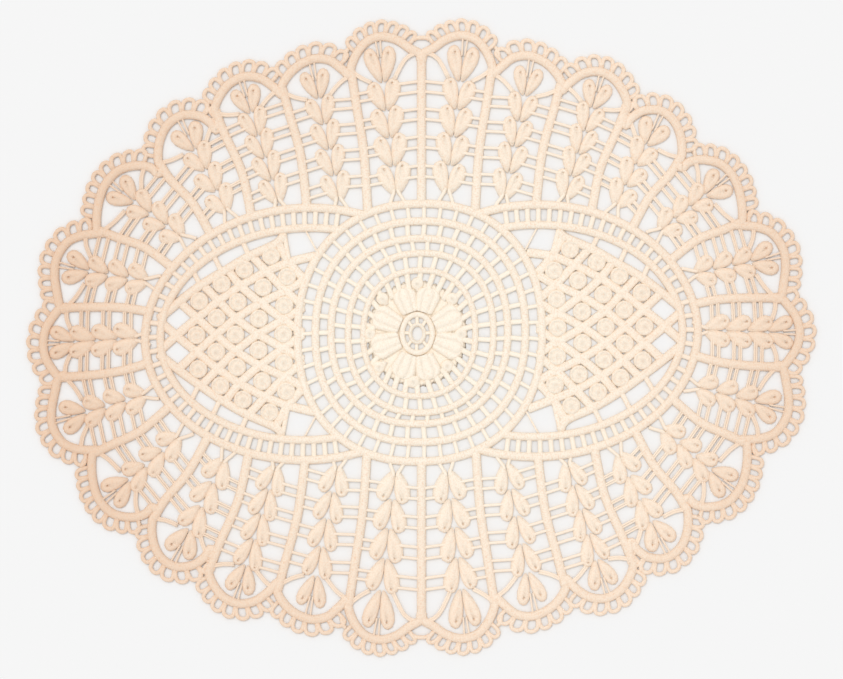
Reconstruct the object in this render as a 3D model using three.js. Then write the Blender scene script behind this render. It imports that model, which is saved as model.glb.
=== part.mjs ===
// Crochet placemat: one oval, flat sheet of thick cotton lace, worked in one piece.
// Five oval rings stand round a flower in the middle. An eye-shaped panel points to each end,
// and a border of 26 scalloped lobes runs round both. The solid is the sheet itself, with its
// scalloped outline and its largest gaps. Cords, leaves, bars and stitches lie within it.
//
// Frame: millimetres, +X along the long side, +Z up, origin under the middle of the mat,
// on the surface that it lies on.
import * as THREE from "three";

// Driving dimensions.
const LENGTH = 450;            // over the tips of the end lobes
const WIDTH = 363.5;           // over the tips of the top and bottom lobes
const THICKNESS = 2.8;         // of the lace, lying flat
const CORD = 5.2;              // width of a leg, an arch, a ring or the rim
const PICOT_BAND = 9.4;        // from the middle of an arch to the outer edge of its loops
const BAR = 2.6;               // a pair of thin bars, taken as one bar
const COTTON = 0xf6e3cd;

// How the mat lies: a little skewed, narrower at the top than at the bottom,
// with its middle pulled towards the top.
const SKEW = 0.014;            // rise per millimetre along X
const TAPER = 0.00011;         // narrowing per millimetre along Y
const PULL = 2.9;              // shift of the middle along +Y
const PULLED_TO = 0.6;         // share of the half size up to which the whole pull acts
const HALF_LENGTH = 213;       // of the arches' oval
const HALF_WIDTH = 171;

// Lobes of one quarter, from the end of the mat to the top. The leg on a lobe's outer side
// stands on the rim at foot, bends at knee and ends at fork. There its arch goes on through
// rise, crown and fall and lands on the next leg. The stem of leaves runs from stem to tip.
const LOBES = [
  { foot: [154, 15], knee: [180, 18], fork: [204.4, 18.5], rise: [207.3, 35], crown: [205.8, 49],
    fall: [198, 58.5], landing: [185.2, 62.6], stem: [156.5, 32.3], tip: [190.8, 40.4], pairs: 3 },
  { foot: [141.5, 39.5], knee: [160, 54.5], fork: [185.2, 63.6], rise: [184.6, 82], crown: [176.3, 96.4],
    fall: [164.8, 100], landing: [151.5, 100.6], stem: [136.9, 56.6], tip: [165.4, 79.8], pairs: 3 },
  { foot: [121, 56], knee: [134.5, 80], fork: [149.6, 102], rise: [149.4, 117], crown: [140.9, 127.9],
    fall: [129.8, 129.8], landing: [117.5, 128.8], stem: [111.4, 70.4], tip: [130.5, 108.6], pairs: 3 },
  { foot: [97, 66.5], knee: [105, 102], fork: [116.2, 132.6], rise: [111.8, 144.5], crown: [99.6, 151.4],
    fall: [88.4, 149.2], landing: [78.2, 143.6], stem: [82.2, 75.7], tip: [98.4, 129.2], pairs: 4 },
  { foot: [65.5, 71], knee: [70, 112], fork: [78.2, 147.1], rise: [73.4, 155.4], crown: [61, 160.8],
    fall: [50.9, 159.6], landing: [42.2, 154.8], stem: [47.4, 76.3], tip: [59.4, 136.3], pairs: 4 },
  { foot: [32, 70.5], knee: [34.8, 112], fork: [41.7, 152.6], rise: [39, 163], crown: [22.9, 171.6],
    fall: [9.2, 166.6], landing: [0, 160.5], stem: [14.6, 79.8], tip: [22.4, 144.9], pairs: 4 },
];
const CENTRE_LEG = { foot: [0, 73], knee: [0, 112], fork: [0, 160.5] };
const END_LOBE = { rise: [210.8, 9.5], crown: [215.4, 0], stem: [161, 0], tip: [198, 0], pairs: 3 };

// Leaves, as shares of the step from one pair to the next.
const BAR_LEVEL = 0.54;        // height of the bars above the tips of their leaves
const LEAF_TOP = 1.1;          // height of the leaves' wide ends
const LEAF_REACH = 0.55;       // from the stem to the outer edge of a leaf
const BAR_REACH = 0.5;         // from the stem to the edge of a leaf at its bar, or of a petal
const PETAL_CLEAR = 0.5;       // height at which the top window ends, above the petals' tips

const STEM_LOOP = 5.5;         // half width of the small loop under the first leaves
const RIM_CLEAR = 2.6;         // from the stem's start down to the edge of the rim
const NARROWEST = 2.2;         // a gap that is narrower stays closed

// Rings round the flower, from the outermost. Each is a squarish oval.
const SQUARENESS = 2.2;
const RINGS = [
  { x: 0.0, y: 0.5, halfLength: 68.6, halfWidth: 72.4 },
  { x: -0.8, y: 0.8, halfLength: 59.0, halfWidth: 62.0 },
  { x: -1.6, y: 0.9, halfLength: 49.8, halfWidth: 52.3 },
  { x: -0.4, y: -0.3, halfLength: 41.2, halfWidth: 45.1 },
  { x: -1.2, y: -0.5, halfLength: 31.8, halfWidth: 35.6 },
];
const RING_CORD = 4.3;
const SLOTS_PER_RING = 8;

// Eye panels: two rims round each, and a lattice with small windows along its border.
const EYE = { x: 65, outerLength: 91, outerWidth: 70.9, innerLength: 83, innerWidth: 59.2 };
const EYE_SWEEP = 98;          // degrees from the end of the mat to where the rims meet the rings
const SLOTS_PER_EYE = 10;
const LATTICE_EDGE = { near: [77, 47.5], far: [139, 18.5] };
const BORDER_WINDOWS = 4;
const END_WINDOW = { x: 137.2, y: 9.8, half: 5.6 };
const CORNER_WINDOW = [[61.8, 44.6], [70.3, 42.6], [73.6, 46.5], [75.6, 52.4], [65.4, 55], [61, 50.4]];

const CURVE_STEPS = 8;         // chords in each leg and each arch, with the crown half way
const CROWN = CURVE_STEPS / 2;

const vector = ([x, y]) => new THREE.Vector2(x, y);
const mirrored = (point, signX, signY) => new THREE.Vector2(point.x * signX, point.y * signY);

// A smooth curve through named points of a row.
function curveThrough(...points) {
  return new THREE.SplineCurve(points.map(vector)).getPoints(CURVE_STEPS);
}

const legOf = (row) => curveThrough(row.foot, row.knee, row.fork);
const archOf = (row) => new THREE.SplineCurve(
  [row.fork, row.rise, row.crown, row.fall, row.landing].map(vector)).getPoints(CURVE_STEPS);

// The arch of an end lobe runs from the first leg over the end of the mat to its mirror image.
function endArch() {
  const { fork } = LOBES[0];
  const { rise, crown } = END_LOBE;
  return curveThrough([fork[0], -fork[1]], [rise[0], -rise[1]], crown, rise, fork);
}

// Moves a curve that runs counter-clockwise round the mat outwards.
function outsideOf(curve, distance) {
  return curve.map((point, i) => {
    const before = curve[Math.max(i - 1, 0)];
    const after = curve[Math.min(i + 1, curve.length - 1)];
    const along = after.clone().sub(before).normalize();
    return new THREE.Vector2(point.x + along.y * distance, point.y - along.x * distance);
  });
}

// Where two chords cross, or null.
function crossing(a, b, c, d) {
  const first = b.clone().sub(a);
  const second = d.clone().sub(c);
  const span = c.clone().sub(a);
  const turn = first.cross(second);
  const onFirst = span.cross(second) / turn;
  const onSecond = span.cross(first) / turn;
  if (onFirst < 0 || onFirst > 1 || onSecond < 0 || onSecond > 1) {
    return null;
  }
  return a.clone().addScaledVector(first, onFirst);
}

// Joins two neighbouring scallops at the valley where they meet: the end of the first and
// the start of the second, each longer than needed, are cut off there.
function joinAtValley(scallop, next) {
  for (let i = scallop.length - 1; i > 0; i -= 1) {
    for (let j = 0; j < next.length - 1; j += 1) {
      const valley = crossing(scallop[i - 1], scallop[i], next[j], next[j + 1]);
      if (valley) {
        scallop.splice(i, Infinity, valley);
        next.splice(0, j + 1);
        return;
      }
    }
  }
  const middle = scallop.at(-1).clone().add(next[0]).multiplyScalar(0.5);
  scallop.splice(-1, 1, middle);
  next.splice(0, 1);
}

// The outer edge, counter-clockwise from the right end lobe.
function outline() {
  const quarter = LOBES.map((row) => outsideOf(archOf(row), PICOT_BAND));
  const end = outsideOf(endArch(), PICOT_BAND);
  const turned = (curve, signX, signY) => {
    const copy = curve.map((point) => mirrored(point, signX, signY));
    return signX * signY > 0 ? copy : copy.reverse();
  };
  const scallops = [
    turned(end, 1, 1),
    ...quarter.map((curve) => turned(curve, 1, 1)),
    ...quarter.toReversed().map((curve) => turned(curve, -1, 1)),
    turned(end, -1, -1),
    ...quarter.map((curve) => turned(curve, -1, -1)),
    ...quarter.toReversed().map((curve) => turned(curve, 1, -1)),
  ];
  scallops.forEach((scallop, i) => joinAtValley(scallop, scallops[(i + 1) % scallops.length]));
  return scallops.flat();
}

// One side of a lobe as a table of distance from the stem against height along it.
function sideOf(stem, tip, curve, side) {
  const up = tip.clone().sub(stem).normalize();
  const out = new THREE.Vector2(up.y, -up.x).multiplyScalar(side);
  const rows = curve.map((point) => {
    const from = point.clone().sub(stem);
    return { height: from.dot(up), distance: from.dot(out) };
  });
  const distanceAt = (height) => {
    const next = rows.findIndex((row, i) => i > 0 && row.height >= height);
    const high = rows[next < 0 ? rows.length - 1 : next];
    const low = rows[next < 0 ? rows.length - 2 : next - 1];
    const share = (height - low.height) / (high.height - low.height);
    return low.distance + (high.distance - low.distance) * share;
  };
  const pointAt = (height, distance) => (
    stem.clone().addScaledVector(up, height).addScaledVector(out, distance));
  return { foot: rows[0].height, distanceAt, pointAt };
}

// Windows between the leaves of a stem and the leg beside it, one under each bar and one on top.
function sideWindows(stem, tip, pairs, curve, side) {
  const { foot, distanceAt, pointAt } = sideOf(stem, tip, curve, side);
  const step = tip.distanceTo(stem) / pairs;
  const reach = LEAF_REACH * step;
  const barReach = BAR_REACH * step;
  const legEdge = (height) => distanceAt(height) - CORD / 2;
  const windows = [];
  for (let i = 0; i <= pairs; i += 1) {
    const low = (i - 1 + BAR_LEVEL) * step + BAR / 2;
    const leafTop = (i - 1 + LEAF_TOP) * step;
    const high = i < pairs ? (i + BAR_LEVEL) * step - BAR / 2 : (pairs + PETAL_CLEAR) * step;
    const bottom = i > 0
      ? [[low, reach], [low, legEdge(low)]]
      : [[-RIM_CLEAR, STEM_LOOP], [Math.max(foot + CORD, -CORD), legEdge(foot + CORD)]];
    const top = [[high, legEdge(high)], [high, barReach]];
    const shoulder = i > 0 ? [[leafTop, reach]] : [];
    if (legEdge(high) - barReach > NARROWEST && legEdge(leafTop) - reach > NARROWEST) {
      windows.push([...bottom, ...top, ...shoulder].map(([height, away]) => pointAt(height, away)));
    }
  }
  return windows;
}

// The curve beside a stem on the side of the next leg: that leg up to where the arch lands
// on it, and then the arch back to its crown.
function nextSide(leg, arch, stem, tip) {
  const up = tip.clone().sub(stem).normalize();
  const heightOf = (point) => point.clone().sub(stem).dot(up);
  const back = arch.slice(CROWN).reverse();
  return [...leg.filter((point) => heightOf(point) < heightOf(back[0]) - 1), ...back];
}

function lobeWindows() {
  return LOBES.flatMap((row, i) => {
    const stem = vector(row.stem);
    const tip = vector(row.tip);
    const arch = archOf(row);
    const own = [...legOf(row), ...arch.slice(1, CROWN + 1)];
    const next = nextSide(legOf(LOBES[i + 1] ?? CENTRE_LEG), arch, stem, tip);
    return [
      ...sideWindows(stem, tip, row.pairs, own, 1),
      ...sideWindows(stem, tip, row.pairs, next, -1),
    ];
  });
}

// The upper half of an end lobe: its lower half is a mirror image.
function endLobeWindows() {
  const { stem, tip, pairs } = END_LOBE;
  const arch = endArch();
  const own = [...legOf(LOBES[0]), ...arch.slice(CROWN, -1).reverse()];
  return sideWindows(vector(stem), vector(tip), pairs, own, -1);
}

// A point on a squarish oval: the nth powers of its shares along X and Y add up to one.
function ringPoint(ring, angle, inset) {
  const power = 2 / SQUARENESS;
  const cos = Math.cos(angle);
  const sin = Math.sin(angle);
  return new THREE.Vector2(
    ring.x + (ring.halfLength - inset) * Math.sign(cos) * Math.abs(cos) ** power,
    ring.y + (ring.halfWidth - inset) * Math.sign(sin) * Math.abs(sin) ** power,
  );
}

// A slot between two round edges, from one angle to another.
function slot(outerEdge, innerEdge, from, to, steps) {
  const angles = Array.from({ length: steps + 1 }, (_, i) => from + ((to - from) * i) / steps);
  return [...angles.map(outerEdge), ...angles.toReversed().map(innerEdge)];
}

// Slots between neighbouring rings, staggered from one ring to the next.
function ringSlots() {
  const share = (2 * Math.PI) / SLOTS_PER_RING;
  return RINGS.slice(0, -1).flatMap((outer, i) => {
    const inner = RINGS[i + 1];
    const bridge = BAR / inner.halfLength;
    return Array.from({ length: SLOTS_PER_RING }, (_, j) => {
      const from = (j + (i % 2) / 2) * share + bridge / 2;
      return slot(
        (angle) => ringPoint(outer, angle, RING_CORD / 2),
        (angle) => ringPoint(inner, angle, -RING_CORD / 2),
        from, from + share - bridge, 4,
      );
    });
  });
}

const eyePoint = (halfLength, halfWidth, angle) => new THREE.Vector2(
  EYE.x + halfLength * Math.cos(angle), halfWidth * Math.sin(angle));

// Slots between the two rims of the right eye.
function eyeSlots() {
  const sweep = THREE.MathUtils.degToRad(EYE_SWEEP);
  const share = (2 * sweep) / SLOTS_PER_EYE;
  const bridge = BAR / EYE.innerWidth;
  const edge = CORD / 2;
  return Array.from({ length: SLOTS_PER_EYE }, (_, i) => {
    const from = -sweep + i * share + bridge / 2;
    return slot(
      (angle) => eyePoint(EYE.outerLength - edge, EYE.outerWidth - edge, angle),
      (angle) => eyePoint(EYE.innerLength + edge, EYE.innerWidth + edge, angle),
      from, from + share - bridge, 4,
    );
  });
}

// Windows of one quarter of an eye: beside the rings, at the tip, and along the lattice.
function panelWindows() {
  const { x, y, half } = END_WINDOW;
  const diamond = [[x - half, y], [x, y - half], [x + half, y], [x, y + half]].map(vector);
  const near = vector(LATTICE_EDGE.near);
  const far = vector(LATTICE_EDGE.far);
  const rimY = (along) => {
    const share = (along - EYE.x) / (EYE.innerLength - CORD / 2);
    return (EYE.innerWidth - CORD / 2) * Math.sqrt(1 - share * share);
  };
  const border = Array.from({ length: BORDER_WINDOWS }, (_, i) => {
    const gap = BAR / 2 / near.distanceTo(far);
    const low = near.clone().lerp(far, i / BORDER_WINDOWS + gap);
    const high = near.clone().lerp(far, (i + 1) / BORDER_WINDOWS - gap);
    return [
      low, high, new THREE.Vector2(high.x, rimY(high.x)), new THREE.Vector2(low.x, rimY(low.x)),
    ];
  });
  return [diamond, CORNER_WINDOW.map(vector), ...border];
}

// The way the finished mat lies, the same for every point of it.
function laid(point) {
  const share = Math.hypot(point.x / HALF_LENGTH, point.y / HALF_WIDTH);
  const pull = PULL * (1 - THREE.MathUtils.smoothstep(share, PULLED_TO, 1));
  return new THREE.Vector2(
    point.x * (1 - TAPER * point.y),
    point.y + SKEW * point.x + pull,
  );
}

// Puts a quarter's contours into the other quarters.
function onQuarters(contours, signs) {
  return signs.flatMap(([signX, signY]) => (
    contours.map((contour) => contour.map((point) => mirrored(point, signX, signY)))));
}

function placemat() {
  const quarters = [[1, 1], [-1, 1], [-1, -1], [1, -1]];
  const ends = [[1, 1], [-1, 1]];
  const edge = outline().map(laid);
  const gaps = [
    ...onQuarters([...lobeWindows(), ...endLobeWindows(), ...panelWindows()], quarters),
    ...onQuarters(eyeSlots(), ends),
    ...ringSlots(),
  ].map((contour) => contour.map(laid));

  const box = new THREE.Box2().setFromPoints(edge);
  const middle = box.getCenter(new THREE.Vector2());
  const size = box.getSize(new THREE.Vector2());
  const stretch = new THREE.Vector2(LENGTH / size.x, WIDTH / size.y);
  const fitted = (contour) => contour.map((point) => point.clone().sub(middle).multiply(stretch));

  const sheet = new THREE.Shape(fitted(edge));
  sheet.holes = gaps.map((contour) => new THREE.Path(fitted(contour)));
  return new THREE.ExtrudeGeometry(sheet, { depth: THICKNESS, bevelEnabled: false });
}

const cotton = new THREE.MeshStandardMaterial({ color: COTTON, roughness: 0.9, metalness: 0 });
const mat = new THREE.Mesh(placemat(), cotton);
mat.name = "placemat";

const part = new THREE.Group();
part.add(mat);

export default part;
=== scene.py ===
import bpy
import numpy as np
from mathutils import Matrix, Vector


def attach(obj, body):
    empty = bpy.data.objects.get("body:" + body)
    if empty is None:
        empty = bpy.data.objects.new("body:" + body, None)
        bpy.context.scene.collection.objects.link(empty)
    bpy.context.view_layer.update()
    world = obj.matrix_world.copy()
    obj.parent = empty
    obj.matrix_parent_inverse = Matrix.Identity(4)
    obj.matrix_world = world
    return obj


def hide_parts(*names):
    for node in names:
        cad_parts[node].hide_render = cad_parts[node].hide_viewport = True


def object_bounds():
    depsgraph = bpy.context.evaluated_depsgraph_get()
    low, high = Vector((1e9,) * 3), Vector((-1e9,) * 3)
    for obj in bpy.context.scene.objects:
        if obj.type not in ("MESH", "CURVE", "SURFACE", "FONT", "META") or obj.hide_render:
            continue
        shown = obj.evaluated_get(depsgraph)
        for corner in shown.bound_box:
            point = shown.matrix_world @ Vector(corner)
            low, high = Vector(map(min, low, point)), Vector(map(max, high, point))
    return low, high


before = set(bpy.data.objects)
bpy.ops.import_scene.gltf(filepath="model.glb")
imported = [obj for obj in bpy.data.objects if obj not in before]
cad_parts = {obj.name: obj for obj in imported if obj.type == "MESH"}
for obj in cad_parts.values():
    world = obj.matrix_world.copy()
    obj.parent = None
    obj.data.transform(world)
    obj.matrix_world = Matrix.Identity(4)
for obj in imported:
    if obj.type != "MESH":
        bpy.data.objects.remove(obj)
cad_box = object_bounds()

# ---------------------------------------------------------------------------------------------
# Legs and arches. The thick cords that carry the border: each leg stands on the rim of the
# middle and goes on, past its fork, into the arch of a scallop, which lands on the next leg.
# They are padded with several threads and covered with dense round stitches, 5 mm across.
MM = 0.001
CORD_WIDTH = 5.2
CORD_HEIGHT = 2.8
STITCH = 0.68           # from one row of stitches to the next
STITCH_RELIEF = 0.05    # share of the cord's height and width by which stitches stand out
CORD_END = 2.0          # the last stretch of a cord, over which it rounds off
BLUNT = 0.06            # at its very end the root of this share of width and height is left
PICOT_BAND = 9.9        # from the middle of an arch to the outer edge of its loops
HALF_LENGTH = 213
HALF_WIDTH = 171
SKEW = 0.014            # the finished mat lies a little skewed,
TAPER = 0.00011         # and narrower at the top,
PULL = 2.9              # its middle is pulled towards the top,
PULLED_TO = 0.6         # most of all within this share of its half size,
DRAWN = 2.6             # and the corners of its right end are drawn in
CHORDS = 12             # between two named points of a curve

# One quarter of the border, from the end of the mat to the top, in millimetres. A leg goes from
# its foot to its fork, its arch from there to the next leg, and a stem up the middle of a lobe.
# The eyes of a pair of leaves are this high above its joint, and a spread away from the stem. The
# inner one, away from the end of the mat, is higher by twice the lean. The leaves are as broad as
# this to either side. The petals' eyes rise above the tip, apart from the stem, and the petals
# flare out as far as this. Bars leave a leaf at two heights above its joint, and slope by the
# third number. The inner and the outer bow of a lobe end this high above its topmost eyes, and
# the inner one rises above its straight line by the sag. A lobe has so many picots, from the
# first to the last of these distances along its arch.
LOBES = (
    dict(leg=((152, 13.8), (170, 17.9), (190, 19.4), (204.8, 19.5)),
         arch=((207.4, 28.9), (208.9, 39), (207.7, 48.2), (202.2, 56.6),
               (194.3, 60.3), (185.6, 61.3)),
         stem=(156.5, 32.3), tip=(190.8, 40.4), pairs=3,
         eye=8.8, lean=0.45, spread=6.1, broad=9.5, rise=9.0, apart=5.8, flare=10.2,
         inner_bars=(4.0, 9.2, 0), outer_bars=(4.4, 7.8, 0),
         bows=(8.5, 9.0), sag=1.2, picots=(8, 15, 57)),
    dict(leg=((141.5, 38.8), (158, 51.8), (174, 58.6), (185.1, 63.5)),
         arch=((185.1, 76.1), (181.6, 88.1), (173.8, 96.8), (163.1, 99.5),
               (155.2, 98), (151, 94.4)),
         stem=(136.9, 56.6), tip=(165.4, 79.8), pairs=3,
         eye=9.5, lean=1.0, spread=6.0, broad=9.4, rise=9.6, apart=5.6, flare=9.9,
         inner_bars=(5.2, 9.8, 0), outer_bars=(2.8, 6.2, -0.1),
         bows=(9.5, 5.0), sag=1.2, picots=(8, 16, 55.5)),
    dict(leg=((119.8, 56.4), (130.8, 75.8), (144, 90.8), (150.9, 102.1)),
         arch=((150.4, 112.6), (146.1, 122), (138, 127.5), (128.4, 127.2),
               (121.7, 123.2), (117.7, 118.3)),
         stem=(111.4, 70.4), tip=(130.5, 108.6), pairs=3,
         eye=11.6, lean=1.3, spread=5.9, broad=9.3, rise=10.2, apart=5.4, flare=10.0,
         inner_bars=(7.8, 11.8, 0), outer_bars=(4.6, 8.2, -0.45),
         bows=(11.0, 4.2), sag=1.2, picots=(8, 11, 52)),
    dict(leg=((97.1, 66.7), (102.8, 92.5), (113.1, 116), (118.9, 130.7)),
         arch=((116.5, 137.7), (110.9, 144.9), (102.4, 149), (93.2, 148),
               (85.9, 143.2), (81.4, 138.6)),
         stem=(82.2, 75.7), tip=(98.4, 129.2), pairs=4,
         eye=12.0, lean=0.55, spread=5.1, broad=8.8, rise=10.5, apart=4.8, flare=9.0,
         inner_bars=(7.1, 11.8, 0), outer_bars=(4.8, 9.4, -0.12),
         bows=(9.2, 6.6), sag=1.2, picots=(7, 11.3, 45.5)),
    dict(leg=((65.3, 70.5), (69.3, 101.5), (76, 126.5), (80.4, 143)),
         arch=((76.4, 149.9), (69.9, 155.4), (61.4, 158.6), (52.9, 157.4),
               (46.7, 152.8), (42.5, 148.9)),
         stem=(47.4, 76.3), tip=(59.4, 136.3), pairs=4,
         eye=12.5, lean=0.4, spread=5.2, broad=9.0, rise=11.7, apart=4.8, flare=8.8,
         inner_bars=(5.8, 11.4, -0.15), outer_bars=(4.8, 10.1, -0.1),
         bows=(10.8, 9.6), sag=1.2, picots=(6, 13.5, 43.7)),
    dict(leg=((30.6, 67.5), (33, 101.5), (37.2, 129), (40.8, 152.4)),
         arch=((37.2, 161.4), (31.2, 168.1), (22.9, 170.6), (14.2, 168.5),
               (6.7, 163.5), (0, 159.5)),
         stem=(14.6, 79.8), tip=(22.4, 144.9), pairs=4,
         eye=13.8, lean=0.4, spread=5.3, broad=10.0, rise=15.7, apart=5.0, flare=9.8,
         inner_bars=(6.7, 12.8, 0), outer_bars=(6.0, 10.7, -0.05),
         bows=(16.5, 11.0), sag=3.8, picots=(7, 17.8, 47.4)),
)
CENTRE_LEG = ((0, 73), (0, 103), (0, 133), (0, 160.5))
END_LOBE = dict(arch=((209.3, 14.6), (213.1, 7.9), (214.4, 0)), stem=(161, 0), tip=(198, 0),
                pairs=3, eye=11.2, lean=0.2, spread=5.8, broad=9.7, rise=9.0, apart=5.8, flare=9.8,
                inner_bars=(3.9, 7.5, 0), bows=(4.6,), sag=1.2, picots=(7, 9.3, 47))
SPLICE = 5.5            # by which a cord runs down beside the one that it forks from
QUARTERS = np.array([(1, 1), (-1, 1), (-1, -1), (1, -1)], float)
SIDES = QUARTERS[:2]


def spline(knots):
    """A smooth curve through knots. Between two of them it is a cubic, and its slope at a knot
    is half of the way from the knot before to the knot after."""
    knots = np.asarray(knots, float)
    more = np.concatenate([knots[:1], knots, knots[-1:]])
    slope = ((more[2:] - more[:-2]) / 2)[:, None]
    knots = knots[:, None]
    t = np.linspace(0, 1, CHORDS, endpoint=False)[None, :, None]
    start, end, leave, arrive = knots[:-1], knots[1:], slope[:-1], slope[1:]
    curve = (start + leave * t + (3 * (end - start) - 2 * leave - arrive) * t ** 2
             + (2 * (start - end) + leave + arrive) * t ** 3)
    return np.concatenate([curve.reshape(-1, 2), knots[-1]])


def slope_of(line):
    """Unit vectors along a line of points."""
    step = np.gradient(line, axis=-2)
    return step / np.linalg.norm(step, axis=-1, keepdims=True)


def beside(line, distance):
    """A line moved to its right by a distance."""
    along = slope_of(line)
    return line + distance * np.stack([along[..., 1], -along[..., 0]], -1)


def distances(line):
    """The way from the start of a line to each of its points."""
    step = np.linalg.norm(np.diff(line, axis=-2), axis=-1)
    return np.concatenate([np.zeros(step.shape[:-1] + (1,)), np.cumsum(step, -1)], -1)


def evenly(line, spacing, closed=False):
    """A line with its points moved to be an equal distance apart, about the spacing."""
    if closed:
        line = np.concatenate([line, line[:1]])
    run = distances(line)
    count = 2 * round(run[-1] / spacing / 2)
    at = np.linspace(0, run[-1], count, endpoint=False) if closed \
        else np.linspace(0, run[-1], count + 1)
    return np.stack([np.interp(at, run, line[:, 0]), np.interp(at, run, line[:, 1])], -1)


def laid(points):
    """The way the mat lies: x shrinks with y, y rises with x, and a pull along y fades out
    smoothly between a share of the half size and the edge. There the right end is drawn in
    towards the middle, by the sine of three times the turn from the long axis."""
    x, y = points[..., 0], points[..., 1]
    share = np.hypot(x / HALF_LENGTH, y / HALF_WIDTH)
    share = np.clip((share - PULLED_TO) / (1 - PULLED_TO), 0, 1)
    share = share * share * (3 - 2 * share)
    turn = np.arctan2(np.abs(y) / HALF_WIDTH, np.abs(x) / HALF_LENGTH)
    draw = DRAWN * share * (x > 0) * np.sin(np.minimum(3 * turn, np.pi))
    draw = draw / np.maximum(np.hypot(x, y), 1)
    return np.stack([x * (1 - TAPER * y - draw),
                     y * (1 - draw) + SKEW * x + PULL * (1 - share)], -1)


def mirrored(lines, signs=QUARTERS):
    """Lines of one quarter copied into the others: every point times each pair of signs."""
    lines = np.asarray(lines, float)
    copies = signs.reshape((-1,) + (1,) * (lines.ndim - 1) + (2,)) * lines
    return copies.reshape((-1,) + lines.shape[1:])


def down_from(line):
    """A point on a line, a splice before its end."""
    run = distances(line)
    return [np.interp(run[-1] - SPLICE, run, axis) for axis in line.T]


legs = [spline(row["leg"]) for row in LOBES] + [spline(CENTRE_LEG)]
arches = [spline([down_from(own), own[-1], *row["arch"], down_from(following)])
          for row, own, following in zip(LOBES, legs, legs[1:])]
end_half = np.array([down_from(legs[0]), legs[0][-1], *END_LOBE["arch"]])
end_arch = spline([*(end_half * (1, -1)), *end_half[-2::-1]])

# The mat is fitted to the size of the frame by the outer edge of its picots.
edge = laid(np.concatenate([
    mirrored([beside(arch, PICOT_BAND) for arch in arches]).reshape(-1, 2),
    mirrored([beside(end_arch, PICOT_BAND)], SIDES).reshape(-1, 2)]))
middle = (edge.min(0) + edge.max(0)) / 2
stretch = np.subtract(cad_box[1], cad_box[0])[:2] / MM / (edge.max(0) - edge.min(0))


def lay(points):
    """Puts points of the even pattern where they lie in the finished mat."""
    return (laid(np.asarray(points, float)) - middle) * stretch


# Cross-sections, as shares of half the width to the right and of the height upwards. They run
# from the right over the top to the left, and close along the underside.
PADDED = np.array([(0.82, 0), (1, 0.35), (0.79, 0.74), (0.31, 0.97),
                   (-0.31, 0.97), (-0.79, 0.74), (-1, 0.35), (-0.82, 0)])
ROUND = np.array([(0.87, 0.25), (0.87, 0.75), (0, 1), (-0.87, 0.75), (-0.87, 0.25), (0, 0)])


def carry(path, width, height, section=PADDED, base=0.0, relief=0.0, ends=0.0, closed=False):
    """A section carried along a path, or along many paths of as many points. Each point of it
    goes to the side by half the width and up by the height. Every second point of the grid, as
    on a chessboard, stands out by the relief, as a stitch does, and open ends are round."""
    path = np.asarray(path, float)
    if closed:
        along = np.roll(path, -1, -2) - np.roll(path, 1, -2)
        along /= np.linalg.norm(along, axis=-1, keepdims=True)
        ring = np.concatenate([path, path[..., :1, :]], -2)
    else:
        along = slope_of(path)
        ring = path
    run = distances(ring)
    rows, columns = path.shape[-2], len(section)
    stitches = (-1.0) ** np.add.outer(np.arange(rows), np.arange(columns))
    swell = 1 + relief * stitches
    if ends:
        left = np.minimum(run, run[..., -1:] - run)[..., :rows]
        left = np.clip(1 - left / ends, 0, 1)
        swell = swell * np.sqrt(np.maximum(1 - left ** 2, BLUNT))[..., None]
    right = np.stack([along[..., 1], -along[..., 0]], -1)[..., None, :]
    width = np.broadcast_to(width, path.shape[:-1])[..., None]
    height = np.broadcast_to(height, path.shape[:-1])[..., None]
    base = np.broadcast_to(base, path.shape[:-1])[..., None]
    flat = path[..., None, :] + right * (width / 2 * swell * section[:, 0])[..., None]
    up = base + height * swell * section[:, 1]
    around = np.abs(np.diff(section, axis=0, append=section[:1])).sum(1) * np.mean(width) / 2
    return dict(points=np.concatenate([flat, up[..., None]], -1), closed=closed,
                along=run.reshape(-1, run.shape[-1]).mean(0),
                around=np.concatenate([[0], np.cumsum(around)]))


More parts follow.
